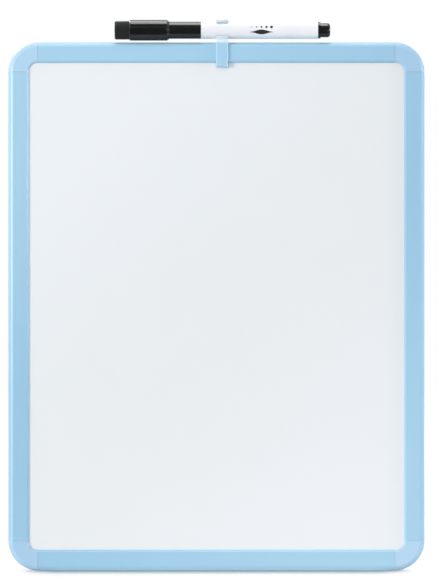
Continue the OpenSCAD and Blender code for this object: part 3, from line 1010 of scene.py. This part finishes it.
@dataclass
class Cap(SubAssembly):
    """Cap with its liner and felt eraser. Sizes are in mm."""

    body: str = "cap"
    rim: float = 0.9  # rounding of the felt's rim
    neck: float = 3.0  # length of the pad's narrower end, which sits in the cap
    neck_share: float = 0.55  # that end's radius, as a share of the pad's
    inset: float = 0.05  # what the pad leaves free for its fibres
    fibres: int = 1600
    fibre_length: float = 0.5
    fibre_width: float = 0.05  # more than real wool's, so that the fibres show

    def build(self) -> None:
        """Dresses the cap and grows the felt."""
        self.dress(marker_cap="black", cap_liner="liner")
        self.adopt(self.felt_pad(), "felt", "eraser_felt", "cap_eraser")

    def felt_pad(self) -> Object:
        """Pad of felt, slightly uneven, with fibre ends standing out of it.

        Returns:
            The pad and its fibres as one plain mesh.
        """
        low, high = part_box("cap_eraser")
        middle = (low + high) / 2
        inset, rim, around, steps = self.inset * MM, self.rim * MM, 72, 8
        radius = (high.z - low.z) / 2 - inset
        length = high.x - low.x
        turns = [math.pi / 2 * i / steps for i in range(steps + 1)]
        shoulder, neck = length - self.neck * MM, radius * self.neck_share
        profile = [
            (inset + rim * (1 - math.sin(a)), radius - rim * (1 - math.cos(a)))
            for a in reversed(turns)
        ] + [(length / 2, radius), (shoulder, radius), (shoulder, neck), (length, neck)]
        shape = bmesh.new()
        rings = []
        for x, r in profile:
            ring = []
            for a in (math.tau * i / around for i in range(around)):
                # Three broad waves and seven small ones, where use has pressed the pad.
                worn = 1 + 0.006 * math.sin(3 * a + 0.7) + 0.004 * math.sin(7 * a + 900 * x)
                y, z = r * worn * math.cos(a), r * worn * math.sin(a)
                ring.append(shape.verts.new((low.x + x, middle.y + y, middle.z + z)))
            rings.append(ring)
        for first, second in zip(rings, rings[1:]):
            for i in range(around):
                shape.faces.new((first[i - 1], first[i], second[i], second[i - 1]))
        shape.faces.new(rings[0])
        shape.faces.new(rings[-1])
        maker = plain_object("eraser_maker", shape)
        grow(maker, {
            "Density": self.fibres / (math.tau * radius * (length + radius)),
            "Length": self.fibre_length * MM, "Width": self.fibre_width * MM, "Seed": 7,
        }, self.fibre_nodes, self.palette.get("felt"))
        return baked(maker, "eraser_felt_pad")

    def fibre_nodes(self, tree: GeometryTree, given: Inputs) -> Source:
        """Scatters short bent fibres over the mesh.

        Args:
            tree: the tree that draws them.
            given: the tree's inputs.

        Returns:
            The mesh, joined with its fibres as instances.
        """
        points = add(tree, "GeometryNodeDistributePointsOnFaces", {
            "Mesh": given["Geometry"], "Density": given["Density"], "Seed": given["Seed"],
        })
        # One fibre, a bent thread a unit long; its foot is under the felt.
        arc = add(tree, "GeometryNodeCurveQuadraticBezier", {
            "Resolution": 3, "Start": (0, 0, -0.3), "Middle": (0.1, 0, 0.5), "End": (0.7, 0, 0.8),
        })
        thread = add(tree, "GeometryNodeCurvePrimitiveCircle", {"Resolution": 3, "Radius": 0.05})
        fibre = add(tree, "GeometryNodeCurveToMesh", {
            "Curve": arc, "Profile Curve": thread, "Fill Caps": True,
        })
        spin = add(tree, "FunctionNodeRandomValue", {
            0: (-0.9, -0.9, 0), 1: (0.9, 0.9, math.tau), "Seed": given["Seed"],
        }, data_type="FLOAT_VECTOR")
        turned = add(tree, "FunctionNodeRotateRotation", {
            "Rotation": points.outputs["Rotation"], "Rotate By": spin,
        }, rotation_space="LOCAL")
        share = add(tree, "FunctionNodeRandomValue", {
            2: 0.4, 3: 1.0, "Seed": given["Seed"],
        }, data_type="FLOAT")
        long = add(tree, "ShaderNodeMath", {
            0: share.outputs[1], 1: given["Length"],
        }, operation="MULTIPLY")
        thick = add(tree, "ShaderNodeMath", {0: given["Width"], 1: 0.1}, operation="DIVIDE")
        size = add(tree, "ShaderNodeCombineXYZ", {"X": long, "Y": thick, "Z": long})
        placed = add(tree, "GeometryNodeInstanceOnPoints", {
            "Points": points, "Instance": fibre,
            "Rotation": turned.outputs["Rotation"], "Scale": size,
        })
        return add(tree, "GeometryNodeJoinGeometry", {0: [placed, given["Geometry"]]})


# ---- studio


@dataclass(frozen=True)
class Lamp:
    """A soft box, unseen by the camera. Lengths are in metres."""

    name: str
    place: tuple[float, float, float]  # from the middle of the writing face
    size: tuple[float, float]
    power: float  # watts
    only_mirrored: bool = False  # seen in reflections, and lights nothing else

    def hang(self) -> None:
        """Adds the lamp, aimed at the middle of the writing face."""
        data = bpy.data.lights.new(self.name, "AREA")
        data.shape = "RECTANGLE"
        data.size, data.size_y = self.size
        data.energy = self.power
        lamp = bpy.data.objects.new(self.name, data)
        lamp.location = BOARD.face_middle + Vector(self.place)
        lamp.rotation_euler = (-Vector(self.place)).to_track_quat("-Z", "Y").to_euler()
        lamp.visible_camera = False
        lamp.visible_diffuse = not self.only_mirrored
        bpy.context.scene.collection.objects.link(lamp)


@dataclass
class Studio:
    """Floor, lamps, world and camera."""

    image_size: tuple[int, int] = (437, 586)  # pixels
    pixel: float = 0.6718  # mm, width of a pixel on the writing face
    board_middle: tuple[float, float] = (215.85, 305.85)  # pixels, where the board's middle stands
    distance: float = 2.0  # metres, from the camera to the board's face
    fill: float = 0.39  # strength of the even light from before the object
    back_fill: float = 0.9  # the same from its sides and from behind
    daylight: str = "#f4f7fa"
    dark_side: float = 0.12  # how bright the room in front of the object is in a reflection
    floor_reach: float = 12.0  # metres, from the middle of the floor to its edges
    paper_seen: str = "#e6e2dd"  # as the camera sees it
    paper_thrown: str = "#b4b6b8"  # for other rays
    paper_lift: float = 0.27  # glow that keeps the seen paper white
    near_share: float = 0.6  # of the seen colour, that other rays meet near the object
    paper_near: tuple[float, float] = (0.15, 0.28)  # metres off, where that share fades and ends
    paper_far: tuple[float, float] = (0.3, 0.5)  # metres off, where plain white starts and is full
    foot_back: float = 6.0  # mm, from the lower rail's front to the middle of the strip under it
    foot_width: tuple[float, float] = (4.0, 11.0)  # mm, to where the strip fades and ends
    foot_ends: tuple[float, float] = (-12.0, 4.0)  # mm, the same along it, from the rail's end
    foot_glow: float = 0.4  # light that the strip throws up besides what falls on it
    lamps: tuple[Lamp, ...] = field(default_factory=lambda: (
        Lamp("key_left", (-4.2, -3.0, 1.0), (0.7, 0.7), 155.0),
        Lamp("front_upper_left", (-0.6, -1.5, 1.7), (0.5, 0.5), 8.5),
        Lamp("front_lower_right", (0.62, -2.0, 0.05), (0.5, 0.4), 3.5),
        Lamp("side_right", (1.7, -0.15, 0.35), (0.5, 0.5), 12.0),
        Lamp("strip_above", (0.0, 0.29, 1.05), (0.34, 0.78), 3.6, only_mirrored=True),
        Lamp("soft_above", (0.0, 0.29, 1.05), (0.5, 0.5), 2.0),
        Lamp("back_right", (-1.2, 2.4, 1.3), (0.8, 0.8), 30.0),
    ))

    def build(self) -> None:
        """Sets the floor, light and camera."""
        self.lay_floor()
        for lamp in self.lamps:
            lamp.hang()
        self.light_world()
        self.set_camera()
        bpy.context.scene.view_settings.view_transform = "Standard"

    def lay_floor(self) -> None:
        """Lays a wide floor of white paper."""
        reach = self.floor_reach
        corners = [(-reach, -reach, 0), (reach, -reach, 0), (reach, reach, 0), (-reach, reach, 0)]
        mesh = bpy.data.meshes.new("floor")
        mesh.from_pydata(corners, [], [(0, 1, 2, 3)])
        mesh.materials.append(self.floor_paper())
        new_object("floor", mesh)

    def floor_paper(self) -> Material:
        """Paper that looks white and takes the shadow, but throws little light back up.

        A strip under the lower rail loses the lift for the camera, a painted contact shadow, and
        glows for other rays, a painted light on the rail's lower edge. Far off the camera sees
        plain white,
        and reflections see the room: dark before the object and white behind it.

        Returns:
            The paper.
        """
        material = bpy.data.materials.new("white_paper_floor")
        tree = bare_tree(material)
        rays = add(tree, "ShaderNodeLightPath").outputs
        known = add(tree, "ShaderNodeTexCoord").outputs
        length = add(tree, "ShaderNodeVectorMath", {0: known["Object"]}, operation="LENGTH")
        off = length.outputs["Value"]
        axes = add(tree, "ShaderNodeSeparateXYZ", {"Vector": known["Object"]}).outputs
        seen = add(tree, "ShaderNodeMath", {
            0: rays["Is Camera Ray"], 1: rays["Is Transmission Ray"],
        }, operation="MAXIMUM")
        close = add(tree, "ShaderNodeMapRange", {
            "Value": off, "From Min": self.paper_near[0], "From Max": self.paper_near[1],
            "To Min": self.near_share, "To Max": 0,
        })
        pale = add(tree, "ShaderNodeMath", {0: seen, 1: close}, operation="MAXIMUM")
        tone = add(tree, "ShaderNodeMix", {
            0: pale, 6: linear(self.paper_thrown), 7: linear(self.paper_seen),
        }, data_type="RGBA")
        low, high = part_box("rail_bottom")
        from_foot = add(tree, "ShaderNodeMath", {
            0: axes["Y"], 1: low.y + self.foot_back * MM,
        }, operation="SUBTRACT")
        off_foot = add(tree, "ShaderNodeMath", {0: from_foot}, operation="ABSOLUTE")
        across = add(tree, "ShaderNodeMath", {0: axes["X"]}, operation="ABSOLUTE")
        beside = add(tree, "ShaderNodeMapRange", {
            "Value": across, "From Min": high.x + self.foot_ends[0] * MM,
            "From Max": high.x + self.foot_ends[1] * MM, "To Min": 1, "To Max": 0,
        })
        foot = add(tree, "ShaderNodeMapRange", {
            "Value": off_foot, "To Min": beside, "To Max": 0,
            "From Min": self.foot_width[0] * MM, "From Max": self.foot_width[1] * MM,
        })
        raised = add(tree, "ShaderNodeMath", {0: seen, 1: self.paper_lift}, operation="MULTIPLY")
        unseen = add(tree, "ShaderNodeMath", {0: 1.0, 1: seen}, operation="SUBTRACT")
        thrown = add(tree, "ShaderNodeMath", {0: unseen, 1: self.foot_glow}, operation="MULTIPLY")
        # In the strip: no lift for the camera, a painted contact shadow; a painted glow for other
        # rays.
        lift = add(tree, "ShaderNodeMix", {0: foot, 2: raised, 3: thrown}, data_type="FLOAT")
        paper = add(tree, "ShaderNodeBsdfDiffuse", {"Color": tone.outputs[2]})
        glow = add(tree, "ShaderNodeEmission", {"Strength": lift})
        near = add(tree, "ShaderNodeAddShader", {0: paper, 1: glow})
        behind = add(tree, "ShaderNodeMapRange", {
            "Value": axes["Y"], "From Min": -0.4, "From Max": -0.2, "To Min": self.dark_side,
        })
        level = add(tree, "ShaderNodeMath", {0: seen, 1: behind}, operation="MAXIMUM")
        distant = add(tree, "ShaderNodeEmission", {"Strength": level})
        far = add(tree, "ShaderNodeMapRange", {
            "Value": off, "From Min": self.paper_far[0], "From Max": self.paper_far[1],
        }, interpolation_type="SMOOTHSTEP")
        shown = add(tree, "ShaderNodeMath", {
            0: seen, 1: rays["Is Glossy Ray"],
        }, operation="MAXIMUM")
        share = add(tree, "ShaderNodeMath", {0: far, 1: shown}, operation="MULTIPLY")
        both = add(tree, "ShaderNodeMixShader", {0: share, 1: near, 2: distant})
        add(tree, "ShaderNodeOutputMaterial", {"Surface": both})
        return material

    def light_world(self) -> None:
        """Fill that is stronger from the sides and from behind; reflections see the same room."""
        world = bpy.context.scene.world = bpy.data.worlds.new("studio")
        tree = bare_tree(world)
        rays = add(tree, "ShaderNodeLightPath").outputs
        way = add(tree, "ShaderNodeTexCoord").outputs
        axes = add(tree, "ShaderNodeSeparateXYZ", {"Vector": way["Generated"]}).outputs
        # Y is the sine of the angle by which a direction points to the back.
        behind = add(tree, "ShaderNodeMapRange", {
            "Value": axes["Y"], "From Min": -0.25, "From Max": 0.15, "To Min": self.dark_side,
        })
        level = add(tree, "ShaderNodeMapRange", {
            "Value": axes["Y"], "From Min": -0.4, "From Max": 0.0,
            "To Min": self.fill, "To Max": self.back_fill,
        })
        white = (1, 1, 1, 1)
        room = add(tree, "ShaderNodeBackground", {
            "Color": linear(self.daylight), "Strength": level,
        })
        mirrored = add(tree, "ShaderNodeBackground", {"Color": white, "Strength": behind})
        backdrop = add(tree, "ShaderNodeBackground", {"Color": white, "Strength": 1.0})
        seen = add(tree, "ShaderNodeMath", {
            0: rays["Is Camera Ray"], 1: rays["Is Transmission Ray"],
        }, operation="MAXIMUM")
        lit = add(tree, "ShaderNodeMixShader", {0: rays["Is Glossy Ray"], 1: room, 2: mirrored})
        shown = add(tree, "ShaderNodeMixShader", {0: seen, 1: lit, 2: backdrop})
        add(tree, "ShaderNodeOutputWorld", {"Surface": shown})

    def set_camera(self) -> None:
        """Looks square at the board's face, with the board where the picture has it."""
        width, height = self.image_size
        data = bpy.data.cameras.new("camera")
        data.sensor_width = 36.0  # mm
        data.lens = data.sensor_width * self.distance / (height * self.pixel * MM)
        data.clip_end = 60.0  # metres, past the floor's corners
        camera = bpy.data.objects.new("camera", data)
        right = ((width - 1) / 2 - self.board_middle[0]) * self.pixel * MM
        up = (self.board_middle[1] - (height - 1) / 2) * self.pixel * MM
        camera.location = (
            BOARD.face_middle + BOARD.across * right + BOARD.up * up + BOARD.normal * self.distance
        )
        camera.rotation_euler = (math.pi / 2 - BOARD.lean, 0, 0)
        bpy.context.scene.collection.objects.link(camera)
        bpy.context.scene.camera = camera


def main() -> None:
    """Builds the studio and the sub-assemblies in order."""
    logging.basicConfig(level=logging.INFO, format="%(name)s: %(message)s")
    palette = Palette()
    for part in (
        Studio(), Panel(palette), Frame(palette), Stand(palette), Leg(palette),
        Clip(palette), Marker(palette), Cap(palette),
    ):
        part.build()


if __name__ == "__main__":
    main()
